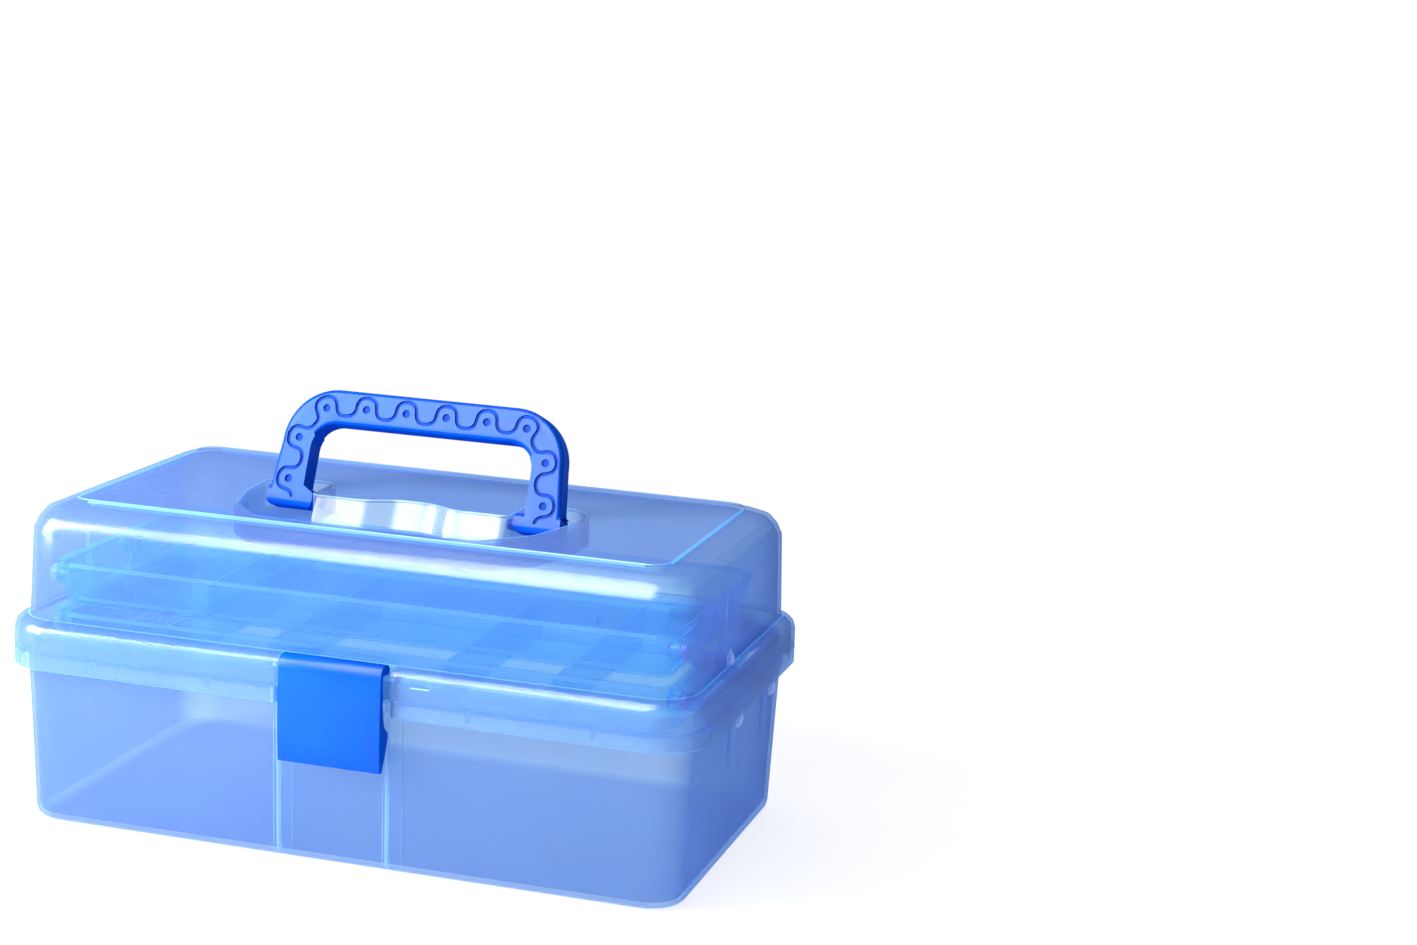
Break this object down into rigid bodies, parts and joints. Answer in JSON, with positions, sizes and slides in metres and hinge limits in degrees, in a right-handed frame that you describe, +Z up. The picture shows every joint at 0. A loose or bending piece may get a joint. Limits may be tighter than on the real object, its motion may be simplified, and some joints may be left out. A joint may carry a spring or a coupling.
{
  "type": "art supply box",
  "caption": "Translucent blue hinged carry box with domed lid, fold-down handle, front snap latch and cantilever trays on links.",
  "frame": {"origin": "middle of the tub's flat underside", "axes": "+X along the box's length, -Y towards the latch side, +Z up out of the lid"},
  "size_m": [0.33, 0.1972, 0.1943],
  "materials": {
    "blue_clear_plastic": "translucent, glossy",
    "royal_blue_plastic": "opaque, glossy",
    "milky_plastic": "milky, translucent"
  },
  "bodies": {
    "base": {"base_tub": "blue_clear_plastic", "base_pivot_pins": "milky_plastic", "hinge_pin_left": "blue_clear_plastic", "hinge_pin_right": "blue_clear_plastic"},
    "lid": {"lid_shell": "blue_clear_plastic", "lid_pivot_pins": "milky_plastic"},
    "handle": {"carry_handle": "royal_blue_plastic"},
    "latch": {"front_latch": "royal_blue_plastic"},
    "front_links": {"front_link_left": "milky_plastic", "front_link_right": "milky_plastic"},
    "rear_links": {"rear_link_left": "milky_plastic", "rear_link_right": "milky_plastic"},
    "low_tray": {"lower_tray": "blue_clear_plastic", "lower_tray_pins": "milky_plastic"},
    "high_tray": {"upper_tray": "blue_clear_plastic", "upper_tray_pins": "milky_plastic"},
    "upper_links": {"upper_link_left": "milky_plastic", "upper_link_right": "milky_plastic"},
    "lid_links": {"lid_link_left": "milky_plastic", "lid_link_right": "milky_plastic"}
  },
  "joints": [
    {"name": "lid_hinge", "type": "hinge", "parent": "base", "child": "lid", "pos_m": [0, 0.098, 0.081], "axis": [-1, 0, 0], "range_deg": [0, 148]},
    {"name": "rear_link_hinge", "type": "hinge", "parent": "base", "child": "rear_links", "pos_m": [0, 0.052, 0.0655], "axis": [-1, 0, 0], "range_deg": [-0.5, 78.5]},
    {"name": "front_link_hinge", "type": "hinge", "parent": "base", "child": "front_links", "pos_m": [0, -0.0025, 0.0655], "axis": [-1, 0, 0], "range_deg": [-0.5, 78.5]},
    {"name": "lower_tray_hinge", "type": "hinge", "parent": "rear_links", "child": "low_tray", "pos_m": [0, -0.00502, 0.08854], "axis": [-1, 0, 0], "range_deg": [-78.5, 0.5]},
    {"name": "upper_tray_hinge", "type": "hinge", "parent": "rear_links", "child": "high_tray", "pos_m": [0, -0.06204, 0.11158], "axis": [-1, 0, 0], "range_deg": [-78.5, 0.5]},
    {"name": "upper_link_hinge", "type": "hinge", "parent": "low_tray", "child": "upper_links", "pos_m": [0, 0.05798, 0.08854], "axis": [-1, 0, 0], "range_deg": [-0.5, 78.5]},
    {"name": "lid_link_hinge", "type": "hinge", "parent": "lid", "child": "lid_links", "pos_m": [0, -0.021, 0.098], "axis": [-1, 0, 0], "range_deg": [-0.5, 23.5]},
    {"name": "handle_hinge", "type": "hinge", "parent": "lid", "child": "handle", "pos_m": [0, -0.0015, 0.1427], "axis": [1, 0, 0], "range_deg": [0, 111]},
    {"name": "latch_hinge", "type": "hinge", "parent": "base", "child": "latch", "pos_m": [0, -0.088, 0.064], "axis": [1, 0, 0], "range_deg": [0, 22]}
  ],
  "couplings": [
    {"joint": "rear_link_hinge", "follows": "lid_hinge", "ratio": 0.52703},
    {"joint": "front_link_hinge", "follows": "lid_hinge", "ratio": 0.52703},
    {"joint": "lower_tray_hinge", "follows": "lid_hinge", "ratio": -0.52703},
    {"joint": "upper_tray_hinge", "follows": "lid_hinge", "ratio": -0.52703},
    {"joint": "upper_link_hinge", "follows": "lid_hinge", "ratio": 0.52703},
    {"joint": "lid_link_hinge", "follows": "lid_hinge", "ratio": 0.1525}
  ]
}
